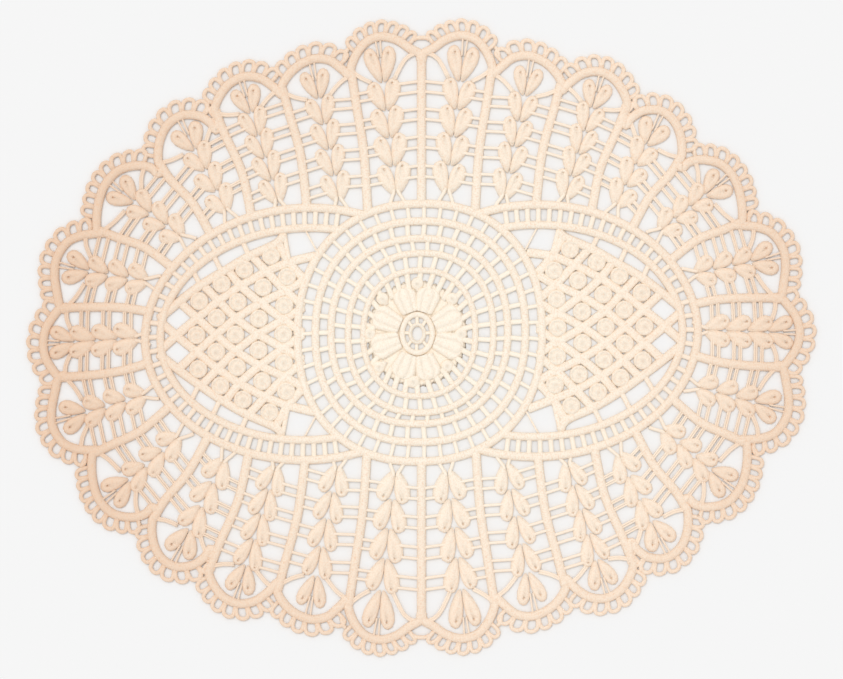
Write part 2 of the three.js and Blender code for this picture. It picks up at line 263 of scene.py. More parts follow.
def piece(name, *clothing):
    """A mesh of grids, each list of them followed by its material. A grid is rows by columns of
    points, or many such grids of one size. The columns close round it. The rows close too, or
    one face fills each end. A face runs along the rows first, then along the columns, so that
    it looks outwards. The UV map holds the millimetres along and around."""
    points, corners, sizes, uvs, slots = [], [], [], [], []
    total = 0
    materials = clothing[1::2]
    for slot, grid in [(k, grid) for k, grids in enumerate(clothing[::2]) for grid in grids]:
        shape = grid["points"].shape[-3:]
        copies = grid["points"].reshape((-1,) + shape)
        rows, columns = shape[:2]
        first = total + rows * columns * np.arange(len(copies))[:, None, None]
        spans = rows if grid["closed"] else rows - 1
        i, j = np.meshgrid(np.arange(spans), np.arange(columns), indexing="ij")
        ahead, beyond = (i + 1) % rows, (j + 1) % columns
        quads = np.stack([i * columns + j, ahead * columns + j,
                          ahead * columns + beyond, i * columns + beyond], -1)
        corners.append((first + quads.reshape(1, -1, 4)).ravel())
        sizes.append(np.full(len(copies) * quads.size // 4, 4))
        along = np.concatenate([grid["along"], grid["along"][-1:]])
        place = np.stack([along[np.stack([i, i + 1, i + 1, i], -1)],
                          grid["around"][np.stack([j, j, j + 1, j + 1], -1)]], -1)
        uvs.append(np.broadcast_to(place, (len(copies),) + place.shape).reshape(-1, 2))
        if not grid["closed"]:
            ends = np.stack([np.arange(columns),
                             (rows - 1) * columns + np.arange(columns)[::-1]])
            corners.append((first + ends[None]).ravel())
            sizes.append(np.full(2 * len(copies), columns))
            uvs.append(np.zeros((2 * len(copies) * columns, 2)))
        points.append(copies.reshape(-1, 3))
        slots.append(np.full(sum(map(len, sizes)) - sum(map(len, slots)), slot, np.int32))
        total += len(copies) * rows * columns
    points, corners, sizes = map(np.concatenate, (points, corners, sizes))
    mesh = bpy.data.meshes.new(name)
    mesh.vertices.add(len(points))
    mesh.vertices.foreach_set("co", (points * MM).astype(np.float32).ravel())
    mesh.loops.add(len(corners))
    mesh.loops.foreach_set("vertex_index", corners.astype(np.int32))
    mesh.polygons.add(len(sizes))
    starts = np.concatenate([[0], np.cumsum(sizes)[:-1]])
    mesh.polygons.foreach_set("loop_start", starts.astype(np.int32))
    mesh.polygons.foreach_set("use_smooth", np.ones(len(sizes), bool))
    mesh.polygons.foreach_set("material_index", np.concatenate(slots))
    mesh.uv_layers.new(name="thread")
    mesh.uv_layers["thread"].data.foreach_set(
        "uv", np.concatenate(uvs).astype(np.float32).ravel())
    mesh.update(calc_edges=True)
    for material in materials:
        mesh.materials.append(material)
    made = bpy.data.objects.new(name, mesh)
    bpy.context.scene.collection.objects.link(made)
    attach(made, "root")
    return made


class Wire:
    """A socket of a material. Sums and products of wires and numbers add their Math nodes, and
    add() makes any other node."""

    def __init__(self, tree, socket=None):
        self.tree = tree
        self.socket = socket

    def add(self, kind, settings, sockets, output=0):
        node = self.tree.nodes.new("ShaderNode" + kind)
        for name, value in settings.items():
            setattr(node, name, value)
        for name, value in sockets.items():
            if isinstance(value, Wire):
                self.tree.links.new(value.socket, node.inputs[name])
            else:
                node.inputs[name].default_value = value
        return Wire(self.tree, node.outputs[output] if node.outputs else None)

    def math(self, operation, first, second=0.0):
        return self.add("Math", dict(operation=operation), {0: first, 1: second})

    def __add__(self, other):
        return self.math("ADD", self, other)

    def __radd__(self, other):
        return self.math("ADD", other, self)

    def __sub__(self, other):
        return self.math("SUBTRACT", self, other)

    def __rsub__(self, other):
        return self.math("SUBTRACT", other, self)

    def __mul__(self, other):
        return self.math("MULTIPLY", self, other)

    def __rmul__(self, other):
        return self.math("MULTIPLY", other, self)

    def smoothly(self, value, low, high):
        """The value's way from the low to the high number, from 0 to 1 with soft ends."""
        return self.add("MapRange", dict(interpolation_type="SMOOTHSTEP"),
                        {0: value, 1: low, 2: high})

    def mix(self, first, second):
        """From the first colour to the second, by this share."""
        return self.add("Mix", dict(data_type="RGBA"), {0: self, 6: first, 7: second}, 2)


def colour(red, green, blue):
    """A colour given as on a screen, from 0 to 255, in the linear numbers of a shader."""
    share = np.array([red, green, blue]) / 255
    linear = np.where(share > 0.04045, ((share + 0.055) / 1.055) ** 2.4, share / 12.92)
    return (*linear.tolist(), 1.0)


# The cotton's own colour is peach. The pale colour is painted light for the brighter middle of the
# mat, and the tawny one is painted shade.
PALE_LIT_COTTON = colour(255, 246, 230)
PEACH_COTTON = colour(253, 236, 217)
TAWNY_SHADED_COTTON = colour(236, 208, 184)
# The deep colour is painted shade in the gaps between stitches, and also the colour of the random
# mottles.
SHADE_AND_MOTTLE_COTTON = colour(236, 186, 144)
PAINTED_LIGHT_OVAL = (0.205, 0.165)      # half sizes of the oval that the painted light and shade follow, in metres
PAINTED_LIGHT_FROM = 0.25        # the painted light of the middle gives way to peach at this share of the oval, and is gone at the next
PAINTED_LIGHT_TO = 1.05
RIM_FROM = 0.85         # the painted shade of the rim sets in here,
LEFT_FROM = 0.05        # painted shade on the left between these metres from the middle,
LEFT_TO = -0.08
ENDS_FROM = 0.1         # and painted shade at both ends between these
ENDS_TO = 0.215
RIM_SHADE = 0.2         # the strengths of the three painted shades
LEFT_SHADE = 0.36
ENDS_SHADE = 0.46
KNOT_SCALE = 1150.0     # knots, fuzz and mottles to the metre
FUZZ_SCALE = 3200.0
MOTTLE_SCALE = 420.0
ROW_SCALE = (1.1, 0.6, 1)       # stitches to the millimetre, along the thread and around it
SOFTNESS = 0.4
GAP_FROM = 0.35         # painted shade darkens a gap between stitches from this distance to a stitch
GAP_TO = 0.85
MOTTLE_FROM = 0.45
MOTTLE_TO = 0.75
MOTTLE_SHARE = 0.3      # of the depth of the painted shade in the gaps
FUZZ_SHARE = 0.25       # of the relief of the stitches


def cotton(name, stitches, depth):
    """Mercerised cotton, peach. It is painted paler in the middle of the mat, as painted light,
    and deeper towards the rim, at both ends and on the left, as painted shade. Painted shade
    darkens it between stitches, and it mottles a little. The stitches are the share by which their
    relief follows the thread's own UV map, against round knots, and the depth is how far painted
    shade darkens the gaps between them."""
    material = bpy.data.materials.new(name)
    material.use_nodes = True
    tree = material.node_tree
    tree.nodes.clear()
    start = Wire(tree)
    place = start.add("TexCoord", {}, {}, "Object")
    thread = start.add("TexCoord", {}, {}, "UV")
    x = start.add("SeparateXYZ", {}, {0: place}, 0)
    y = start.add("SeparateXYZ", {}, {0: place}, 1)
    # Painted light and shade: paler towards the middle, deeper towards the rim, at both ends and
    # on the left.
    out = start.math("SQRT", x * x * (1 / PAINTED_LIGHT_OVAL[0] ** 2) + y * y * (1 / PAINTED_LIGHT_OVAL[1] ** 2))
    towards_rim = start.smoothly(out, PAINTED_LIGHT_FROM, PAINTED_LIGHT_TO)
    to_left = start.smoothly(x, LEFT_FROM, LEFT_TO)
    to_end = start.smoothly(start.math("ABSOLUTE", x), ENDS_FROM, ENDS_TO)
    at_rim = start.smoothly(out, RIM_FROM, PAINTED_LIGHT_TO)
    base = towards_rim.mix(PALE_LIT_COTTON, PEACH_COTTON)
    painted_shade = towards_rim * (to_left * LEFT_SHADE + to_end * ENDS_SHADE) + at_rim * RIM_SHADE
    base = painted_shade.mix(base, TAWNY_SHADED_COTTON)

    knots = start.add("TexVoronoi", dict(feature="SMOOTH_F1"),
                      {0: place, "Scale": KNOT_SCALE, "Smoothness": SOFTNESS})
    across = start.add("VectorMath", dict(operation="MULTIPLY"), {0: thread, 1: ROW_SCALE})
    rows = start.add("TexVoronoi", dict(feature="SMOOTH_F1", voronoi_dimensions="2D"),
                     {0: across, "Scale": 1.0, "Smoothness": SOFTNESS, "Randomness": 0.7})
    fuzz = start.add("TexNoise", {}, {0: place, "Scale": FUZZ_SCALE, "Detail": 3.0})
    mottle = start.add("TexNoise", {}, {0: place, "Scale": MOTTLE_SCALE, "Detail": 2.0})
    gap = rows * stitches + knots * (1 - stitches)
    # Painted shade: the gaps between stitches darken towards the deep colour.
    painted_crevice_shade = start.add("MapRange", {}, {0: gap, 1: GAP_FROM, 2: GAP_TO, 3: 0.0, 4: depth})
    base = painted_crevice_shade.mix(base, SHADE_AND_MOTTLE_COTTON)
    patch = start.add("MapRange", {}, {
        0: mottle, 1: MOTTLE_FROM, 2: MOTTLE_TO, 3: 0.0, 4: MOTTLE_SHARE * depth})
    base = patch.mix(base, SHADE_AND_MOTTLE_COTTON)

    relief = fuzz * FUZZ_SHARE - gap
    bump = start.add("Bump", {}, {"Strength": 0.55, "Distance": 0.35 * MM, "Height": relief})
    shade = start.add("BsdfPrincipled", {}, {
        "Base Color": base, "Roughness": 0.78 + mottle * 0.16, "Normal": bump,
        "IOR": 1.45, "Specular IOR Level": 0.3, "Sheen Weight": 0.35, "Sheen Roughness": 0.5,
        "Sheen Tint": (1.0, 0.72, 0.5, 1.0)})
    start.add("OutputMaterial", {}, {"Surface": shade})
    return material


cord_cotton = cotton("cord_cotton", 0.6, 0.5)
main_cords = []
for path in (*mirrored(np.stack(legs[:-1])), *mirrored([legs[-1]], QUARTERS[1:3]),
             *mirrored(np.stack(arches)), *mirrored([end_arch], SIDES)):
    main_cords.append(carry(evenly(lay(path), STITCH), CORD_WIDTH, CORD_HEIGHT,
                            relief=STITCH_RELIEF, ends=CORD_END))

# ---------------------------------------------------------------------------------------------
# Rims and rings. Two rims go round each eye and run into the outermost of the five squarish
# rings about the flower. All are cords like the legs, the inner rings a little thinner.
EYE_MIDDLE = 65
RIMS = (dict(half_length=91.6, half_width=71.3, sweep=112, width=5.0),
        dict(half_length=83, half_width=60, sweep=104, width=4.6))
SQUARENESS = 2.25
RINGS = (dict(middle=(-0.9, -0.1), half_length=69.3, half_width=72.9, width=4.8),
         dict(middle=(-0.6, 0.4), half_length=59.5, half_width=62.5, width=4.6),
         dict(middle=(-1.2, 0.7), half_length=50.1, half_width=52.4, width=4.4),
         dict(middle=(-0.4, -0.3), half_length=41.2, half_width=45.1, width=4.0),
         dict(middle=(-1.2, -0.5), half_length=31.8, half_width=35.6, width=3.6))
RING_HEIGHT = 2.7
RIM_POINTS = 160
RING_POINTS = 240


def rim_point(rim, degrees):
    """A point of an ellipse about the middle of the right eye."""
    turn = np.radians(degrees)
    return np.stack([EYE_MIDDLE + rim["half_length"] * np.cos(turn),
                     rim["half_width"] * np.sin(turn)], -1)


def ring_point(ring, degrees):
    """A point of a squarish oval: the nth powers of its shares along x and y add up to one."""
    turn = np.radians(degrees)
    share = np.stack([np.cos(turn), np.sin(turn)], -1)
    share = np.sign(share) * np.abs(share) ** (2 / SQUARENESS)
    return ring["middle"] + share * (ring["half_length"], ring["half_width"])


for rim in RIMS:
    line = rim_point(rim, np.linspace(-rim["sweep"], rim["sweep"], RIM_POINTS))
    for path in mirrored([line], SIDES):
        main_cords.append(carry(evenly(lay(path), STITCH), rim["width"], CORD_HEIGHT,
                                relief=STITCH_RELIEF, ends=CORD_END))
for ring in RINGS:
    line = lay(ring_point(ring, np.linspace(0, 360, RING_POINTS, endpoint=False)))
    main_cords.append(carry(evenly(line, STITCH, closed=True), ring["width"], RING_HEIGHT,
                            relief=STITCH_RELIEF, closed=True))

# ---------------------------------------------------------------------------------------------
# Picots. Small loops of thin cord stand side by side along the outside of every arch and make
# the scalloped edge. Neighbours touch, and one flat loop bridges every valley.
PICOT_WIDTH = 2.6
PICOT_HEIGHT = 1.9
PICOT_REACH = 0.455     # half the width of a loop, as a share of the pitch
PICOT_FOOT = 1.2        # from the middle of the arch, so that both feet are inside its cord
PICOT_LEAN = 0.12       # sideways, for each millimetre out from where a loop stays upright
PICOT_UPRIGHT = 4
PICOT_FULL = 0.6        # powers of the sine and cosine, below one for broad and square loops
PICOT_SQUARE = 0.75
BRIDGE_FROM = 3.0       # along the arch beyond its first and last loop, and out from its middle
BRIDGE_OUT = 5.2
BRIDGE_BOW = 0.14       # shares of the way across the valley
BRIDGE_SHOULDER = 0.2
loop_turn = np.linspace(0, np.pi, 11)
loop_out = (PICOT_BAND - PICOT_WIDTH / 2 - PICOT_FOOT) * np.sin(loop_turn) ** PICOT_FULL
loop_out = PICOT_FOOT + loop_out
loop_side = -PICOT_REACH * np.sign(np.cos(loop_turn)) * np.abs(np.cos(loop_turn)) ** PICOT_SQUARE


def along_arch(arch, at, out):
    """Points at distances along an arch and out from it, to its right."""
    run = distances(arch)
    outside = beside(arch, 1) - arch
    near = [np.interp(at, run, line) for line in (*arch.T, *outside.T)]
    return np.stack([near[0] + near[2] * out, near[1] + near[3] * out], -1)


def loops(arch, count, first, last):
    """The picots of an arch, an equal pitch apart from the first to the last, leaning a little."""
    middles, pitch = np.linspace(first, last, count, retstep=True)
    lean = PICOT_LEAN * (loop_out - PICOT_UPRIGHT)
    return along_arch(arch, middles[:, None] + pitch * loop_side + lean, loop_out)


def bridge(leave, arrive):
    """A flat loop across a valley, from one arch to the next: every third point of a curve that
    has a shoulder near each end, bowed outwards by a share of its way."""
    across = arrive - leave
    outwards = BRIDGE_BOW * np.array([across[1], -across[0]])
    return spline([leave, leave + BRIDGE_SHOULDER * across + outwards,
                   leave + (1 - BRIDGE_SHOULDER) * across + outwards, arrive])[::3]


picots = [*(mirrored(loops(arch, *row["picots"])) for row, arch in zip(LOBES, arches)),
          mirrored(loops(end_arch, *END_LOBE["picots"]), SIDES)]
starts = [along_arch(arch, row["picots"][1] - BRIDGE_FROM, np.array(BRIDGE_OUT))
          for row, arch in zip(LOBES, arches)]
ends = [along_arch(arch, row["picots"][2] + BRIDGE_FROM, np.array(BRIDGE_OUT))
        for row, arch in zip((END_LOBE, *LOBES), (end_arch, *arches))]
picots.append(mirrored([bridge(leave, arrive) for leave, arrive in zip(ends, starts)]))
picots.append(np.stack([bridge(ends[-1] * turn, ends[-1] * turn * (-1, 1))
                        for turn in QUARTERS[[0, 2]]]))
picot_grids = [carry(lay(loop), PICOT_WIDTH, PICOT_HEIGHT, ROUND, relief=STITCH_RELIEF)
               for loop in picots]
picot_edge = piece("picots", picot_grids, cord_cotton)

# ---------------------------------------------------------------------------------------------
# Leaves. In every lobe pairs of padded, drop-shaped leaves climb a stem, each with a small eye
# near its wide end, and two longer petals spread at the top. All are dense round stitches. With
# the cords round them they make up one piece.
LEAF_EYE = 0.42
LEAF_HEIGHT = 2.4
LEAF_TAPER = 0.42
INNER_TAPER = 0.45
LEAF_KNOBS = 0.07       # share of the height by which every second point stands out
LEAF_BACK = 2.7         # from an eye to the wide end
LEAF_FULL = 1.1         # the outer half, as a share of the way from the eye to the broad
LEAF_TIP = 0.8          # from the stem to the tips
TIP_DROPS = {3: 0.9, 4: 2.0}            # below the joint, in lobes of three and four pairs
INNER_WIDTHS = {3: 0.7, 4: 0.62}        # of the half towards the stem, as shares of the spread
PETAL_BACK = 4.2
PETAL_DROP = 1.4
PETAL_OUTER = 0.94      # of the way from the eye to the flare
PETAL_INNER = 0.64      # of the way from the stem to the eye
PAD_RADIUS = 0.8        # a low pad of stitches lies in every eye
PAD_HEIGHT = 1.1
NEAR_STEM = 1.0         # cords nearer to the stem than this are not beside it
leaf_section = np.array([(0, 0), (0, 0.74), (0.15, 0.98), (0.6, 0.94), (1, 0.46), (1, 0)])
leaf_turn = np.linspace(0, 2 * np.pi, 14, endpoint=False)


def leaf_grid(eyes, tips, stems, back, outer, inner):
    """Drops about their eyes: from the rim of the eye to an outline that goes out to the tip
    and back by cosine, and to the sides by sine, less wide towards the tip, most of all on the
    side away from the stem. The section over them is a low cushion, closed beneath."""
    towards = tips - eyes
    reach = np.linalg.norm(towards, axis=-1)[:, None]
    towards = (towards / reach)[:, None, None]
    left = np.stack([-towards[..., 1], towards[..., 0]], -1)
    hand = np.sign(np.sum((stems - eyes)[:, None, None] * left, -1))[:, 0]
    cosine, sine = np.cos(leaf_turn), np.sin(leaf_turn)
    half_width = np.where(hand * sine > 0, inner * (1 - INNER_TAPER * cosine),
                          outer * (1 - LEAF_TAPER * cosine))
    outline = np.stack([(reach - back) / 2 + (reach + back) / 2 * cosine,
                        half_width * sine], -1)[:, None]
    rim = LEAF_EYE * np.stack([cosine, sine], -1)
    share = leaf_section[:, 0][None, :, None, None]
    local = rim + (outline - rim) * share
    flat = eyes[:, None, None] + local[..., :1] * towards + local[..., 1:] * left
    rows, columns = len(leaf_section), len(leaf_turn)
    knobs = 1 + LEAF_KNOBS * (-1.0) ** np.add.outer(np.arange(rows), np.arange(columns))
    up = np.broadcast_to(LEAF_HEIGHT * leaf_section[:, 1, None] * knobs, flat.shape[:-1])
    return dict(points=np.concatenate([flat, up[..., None]], -1), closed=True,
                along=np.arange(rows + 1) * 1.5, around=np.arange(columns + 1) * 1.8)


def rounds(centres, radius, profile, height, knobs, columns):
    """Rounds about centres. Rings at shares of the radius and height go from the middle out
    and down, and every second point stands out as a knot does."""
    turn = np.linspace(0, 2 * np.pi, columns, endpoint=False)
    ring = radius * np.stack([np.cos(turn), np.sin(turn)], -1)
    flat = centres[:, None, None] + profile[:, 0][None, :, None, None] * ring
    knots = 1 + knobs * (-1.0) ** np.add.outer(np.arange(len(profile)), np.arange(columns))
    up = np.broadcast_to(height * profile[:, 1, None] * knots, flat.shape[:-1])
    return dict(points=np.concatenate([flat, up[..., None]], -1), closed=False,
                along=np.arange(len(profile)) * 0.9,
                around=np.arange(columns + 1) * 2 * np.pi * radius / columns)


class Stem:
    """A lobe's own directions: up its stem, and out to the side, in the even pattern."""

    def __init__(self, row, sides):
        self.start = np.array(row["stem"], float)
        way = np.array(row["tip"]) - self.start
        self.length = np.linalg.norm(way)
        self.up = way / self.length
        self.out = np.array([self.up[1], -self.up[0]])
        self.joints = np.arange(row["pairs"]) * self.length / row["pairs"]
        self.eyes = {side: self.joints + row["eye"] - side * row["lean"] for side in (1, -1)}
        self.crown = max(((side - self.start) @ self.up).max() for side in sides.values())
        self.row = row
        self.sides = sides

    def point(self, height, distance):
        height, distance = np.broadcast_arrays(height, distance)
        return self.start + height[..., None] * self.up + distance[..., None] * self.out

    def edge(self, side, height):
        """How far the cord round the lobe is from the stem at a height, on one side."""
        heights = (self.sides[side] - self.start) @ self.up
        away = (self.sides[side] - self.start) @ self.out
        order = np.argsort(heights)
        order = order[side * away[order] > NEAR_STEM]
        return np.interp(height, heights[order], away[order])


stems = [Stem(row, {1: np.concatenate([own, arch]), -1: np.concatenate([following, arch])})
         for row, own, following, arch in zip(LOBES, legs, legs[1:], arches)]
stems.append(Stem(END_LOBE, {-1: np.concatenate([legs[0], end_arch])}))

eyes, tips, axes, widths = [], [], [], []
for stem in stems:
    spread, apart, peak = stem.row["spread"], stem.row["apart"], stem.length + stem.row["rise"]
    pairs = stem.row["pairs"]
    for side in stem.sides:
        eyes.append(stem.point(stem.eyes[side], side * spread))
        tips.append(stem.point(stem.joints - TIP_DROPS[pairs], side * LEAF_TIP))
        axes.append(stem.point(stem.eyes[side], 0.0))
        widths += [(LEAF_BACK, LEAF_FULL * (stem.row["broad"] - spread),
                    INNER_WIDTHS[pairs] * spread)] * pairs
        eyes.append(stem.point([peak], [side * apart]))
        tips.append(stem.point([stem.length - PETAL_DROP], [side * LEAF_TIP]))
        axes.append(stem.point([peak], [0.0]))
        widths.append((PETAL_BACK, PETAL_OUTER * (stem.row["flare"] - apart),
                       PETAL_INNER * apart))
eyes, tips, axes = (lay(mirrored(np.concatenate(found))) for found in (eyes, tips, axes))
back, outer, inner = np.tile(widths, (4, 1)).T[:, :, None]
leaf_cotton = cotton("leaf_cotton", 0.0, 0.27)
pad_profile = np.array([(0.3, 1), (1, 0.9), (0.95, 0)])
leaves = [leaf_grid(eyes, tips, axes, back, outer, inner),
          rounds(eyes, PAD_RADIUS, pad_profile, PAD_HEIGHT, 0.0, 6)]
lace = piece("lace", main_cords, cord_cotton, leaves, leaf_cotton)

# ---------------------------------------------------------------------------------------------
# Bars. Thin threads, laid two by two, tie every leaf to the leg beside it, and longer ones bow
# from the topmost leaves to the cord round the lobe. Ladders of flat bars join rims and rings.
BAR_WIDTH = 1.2
BAR_HEIGHT = 1.3
WIDE_BAR = 1.9          # a pair of threads in the lobes of four pairs of leaves lies as one
WIDE_HEIGHT = 1.6
BAR_BASE = 0.5
TWINS = 0.56            # from the middle of a pair of threads to either one
BAR_FROM = 1.2          # a bar starts inside its leaf, this far from the stem and farther out
BAR_SPREADS = 0.45      # by this share of its level, but not past this share of the spread
BAR_INSIDE = 0.8
BOW_THICKNESS = 1.5
BOW_START = (2.0, 1.2)  # up and out from the eye of the topmost leaf
OUTER_SAG = -0.8
CREST_FROM = (2.0, 0.8)         # the bars at the top start below the petals' eyes, beside the
CREST_TO = 1.5                  # stem, and end in the arch
STALK = ((1.5, 0.9), (-1.5, 1.9), (-4.5, 3.3), (-7.5, 4.3))    # up from the stem's foot, and out
STALK_WIDTH = 2.2
STALK_HEIGHT = 1.9
bar_share = np.linspace(0, 1, 7)[:, None]


def straight(starts, ends):
    """Lines of seven points from starts to ends."""
    starts, ends = np.asarray(starts)[..., None, :], np.asarray(ends)[..., None, :]
    return starts + (ends - starts) * bar_share


def bow(stem, side, rise, sag):
    """A curve from beside the topmost leaf to the cord round the lobe, which it meets this much
    higher. Its middle is above the straight line by the sag."""
    top = stem.joints[-1] + stem.row["eye"]
    start = stem.point(top + BOW_START[0], side * (stem.row["spread"] + BOW_START[1]))
    end = stem.point(top + rise, stem.edge(side, top + rise))
    return spline([start, (start + end) / 2 + sag * stem.up, end])[::4]


bars, twins, bows, stalks = [], [], [], []
for stem in stems:
    peak = stem.length + stem.row["rise"]
    for side in stem.sides:
        *levels, slope = stem.row["outer_bars" if side == 1 else "inner_bars"]
        for level in levels:
            low = stem.joints + level
            away = stem.edge(side, low)
            high = low + slope * (np.abs(away) - stem.row["spread"])
            away = stem.edge(side, high)
            inside = side * min(BAR_INSIDE * stem.row["spread"], BAR_FROM + BAR_SPREADS * level)
            if stem.row["pairs"] == 4:
                bars.append(straight(stem.point(low, inside), stem.point(high, away)))
                continue
            for twin in (-TWINS, TWINS):
                twins.append(straight(stem.point(low + twin, inside),
                                      stem.point(high + twin, away)))
        twins.append(straight([stem.point(peak - CREST_FROM[0], side * CREST_FROM[1])],
                              [stem.point(stem.crown, side * CREST_TO)]))
        rise = stem.row["bows"][0 if side == -1 else 1]
        sag = stem.row["sag"] if side == -1 else OUTER_SAG
        for twin in (-TWINS, TWINS):
            bows.append(beside(bow(stem, side, rise, sag), twin))
        stalks.append(spline([stem.point(up, side * out) for up, out in STALK])[::3])
bar_grids = [
    carry(lay(mirrored(np.concatenate(bars))), WIDE_BAR, WIDE_HEIGHT, ROUND, base=BAR_BASE),
    carry(lay(mirrored(np.concatenate(twins))), BAR_WIDTH, BAR_HEIGHT, ROUND, base=BAR_BASE),
    carry(lay(mirrored(np.stack(bows))), BOW_THICKNESS, BOW_THICKNESS, ROUND, base=BAR_BASE),
    carry(lay(mirrored(np.stack(stalks))), STALK_WIDTH, STALK_HEIGHT, ROUND)]

LADDER_WIDTHS = (3.2, 2.5, 3.2, 2.8, 3.2)      # between the rims, and from ring to ring
RUNG_HEIGHT = 1.1
RUNG_BASE = 0.6
RING_RUNGS = (47, 39, 36, 30)
EYE_RUNGS = 21          # to either side of the one at the end of an eye
EYE_SPACING = (4.05, 16, 5.5)   # degrees from rung to rung, the degrees that the first ones add
                                # to that, and the number of rungs over which they do
eye_turns = np.arange(-EYE_RUNGS, EYE_RUNGS + 1)
eye_turns = EYE_SPACING[0] * eye_turns + EYE_SPACING[1] * np.tanh(eye_turns / EYE_SPACING[2])
round_turns = np.linspace(0, 360, 721)
rungs = [lay(mirrored(straight(rim_point(RIMS[0], eye_turns), rim_point(RIMS[1], eye_turns)),
                      SIDES))]
for outer, inner, count in zip(RINGS, RINGS[1:], RING_RUNGS):
    run = distances(ring_point(outer, round_turns))
    turns = np.interp((np.arange(count) + 0.5) / count * run[-1], run, round_turns)
    rungs.append(lay(straight(ring_point(outer, turns), ring_point(inner, turns))))
bar_grids += [carry(rung, width, RUNG_HEIGHT, ROUND, base=RUNG_BASE)
              for rung, width in zip(rungs, LADDER_WIDTHS)]
thread_cotton = cotton("thread_cotton", 1.0, 0.2)
threads = piece("bars", bar_grids, thread_cotton)

# ---------------------------------------------------------------------------------------------
# Net of the eyes. Flat cords cross each other on the slant and leave diamond-shaped meshes. A
# few short cords tie the net to the rim. In every mesh but two sits a round button of stitches
# with a raised edge and a knotted middle.
NET_COLUMNS = (149.5, 138.4, 127.0, 116.0, 105.0, 92.0, 77.8, 66.0)
NET_HALF_PITCH = (9.4, 9.6, 9.6, 9.6, 9.2, 8.85, 8.1, 7.6)
NET_BEND = (0.0035, 0.0035, 0.0035, 0.0035, 0.0035, 0.0035, 0.0018, 0.0)
NET_SHIFT = {1: (-0.6, 1.6), -1: (0.5, 0.2)}    # outwards and up, in the right and left eye
NET_STARTS = ((-2, 1), (-1, 2), (0, 3), (1, 4), (2, 5), (3, 6))
NET_LAST = 6            # the column past the last one in which cords cross
NET_WIDTH = 5.2
NET_HEIGHT = 1.8
NET_STITCH = 0.75
NET_RELIEF = 0.07
NET_END = 1.5           # the last stretch of a cord, over which it rounds off
BUTTON_RADIUS = 5.35
BUTTON_HEIGHT = 2.6
BUTTON_KNOTS = 0.08
BUTTONS = ((0, 2), (1, 3), (2, 4), (3, 5), (4, 4))      # column, and highest place in it
KNOT_COLUMNS = 14       # points round a button
EDGE_HEIGHT = 2.2
EDGE_INSET = 1.2        # by which the cord along the net cuts its last crossings short,
EDGE_DROP = 0.6         # and how far it lies towards the bottom there
EDGE_FOOT = (78.2, 57.2)        # the corner of the eye where that cord meets the inner rim
LONG_FOOT = (59.5, 44.4)        # where the longest cord of the net ends in the outermost ring
TIES = (126, 113, 97.5)         # a tie leaves the edge of the net here, towards the rim, and
TIE_WAY = (3.78, 8.19)          # ends where the rim is nearest to a point this far out
TIE_WIDTH = 3.2
TIE_HEIGHT = 1.8
RIM_CHOICES = 200       # points of the rim among which the nearest is found
CORNER_FOOT = (78.3, 57.5)      # a short bar joins the last crossing to the same corner,
CORNER_WIDTH = 3.0
CROSS_BAR = ((59.0, 45.5), (65.8, 58))          # and a thread lies across the window there
CROSS_WIDTH = 1.2
CROSS_BASE = 0.4
button_profile = np.array([(0.1, 0.9), (0.32, 0.92), (0.5, 0.7), (0.64, 0.66), (0.78, 1.0),
                           (0.9, 0.84), (1, 0.4), (0.96, 0)])


def net_point(side, column, row):
    """Where cords cross: columns bow towards the flower with the square of the height."""
    column = np.asarray(column) + 2
    y = np.asarray(row) * np.take(NET_HALF_PITCH, column)
    x = np.take(NET_COLUMNS, column) - np.take(NET_BEND, column) * y ** 2
    return np.stack([side * (x + NET_SHIFT[side][0]), y + NET_SHIFT[side][1]], -1)


net_grids, centres = [], []
for side in (1, -1):
    for half in (1, -1):
        for column, row in NET_STARTS:
            steps = np.arange(NET_LAST - column)
            path = net_point(side, column + steps, half * (row - steps))
            if column == -2:
                path[-1] = LONG_FOOT * np.array([side, -half])
            net_grids.append(carry(evenly(lay(spline(path)), NET_STITCH), NET_WIDTH, NET_HEIGHT,
                                   relief=NET_RELIEF, ends=NET_END))
        edge_knots = net_point(side, np.arange(-2, 4), half * np.arange(1, 7))
        edge_knots[3:, 1] -= half * EDGE_INSET + EDGE_DROP
        corner = np.array([side, half])
        edge_cord = spline([*edge_knots, corner * EDGE_FOOT])
        net_grids.append(carry(evenly(lay(edge_cord), NET_STITCH), NET_WIDTH, EDGE_HEIGHT,
                               relief=NET_RELIEF, ends=NET_END))
        nearest = np.abs(side * edge_cord[:, :1] - TIES).argmin(0)
        ties = edge_cord[nearest]
        rim = rim_point(RIMS[1], half * np.linspace(0, RIMS[1]["sweep"], RIM_CHOICES)) * (side, 1)
        aims = ties + corner * TIE_WAY
        ends = rim[np.linalg.norm(aims[:, None] - rim, axis=-1).argmin(1)]
        net_grids.append(carry(lay(straight(ties, ends)), TIE_WIDTH, TIE_HEIGHT, ROUND))
        crossing = net_point(side, 4, half * 5)
        net_grids.append(carry(lay(straight([crossing], [corner * CORNER_FOOT])),
                               CORNER_WIDTH, TIE_HEIGHT, ROUND))
        foot, head = corner * CROSS_BAR
        net_grids.append(carry(lay(straight([foot], [head])), CROSS_WIDTH, CROSS_WIDTH, ROUND,
                               base=CROSS_BASE))
    for column, highest in BUTTONS:
        rows = np.arange(-highest, highest + 1, 2)
        centres.append(net_point(side, column, rows))
net = piece("net", net_grids, cord_cotton)
centres = lay(np.concatenate(centres))
button_cotton = cotton("button_cotton", 0.35, 0.35)
button_grid = rounds(centres, BUTTON_RADIUS, button_profile, BUTTON_HEIGHT, BUTTON_KNOTS,
                     KNOT_COLUMNS)
buttons = piece("buttons", [button_grid], button_cotton)

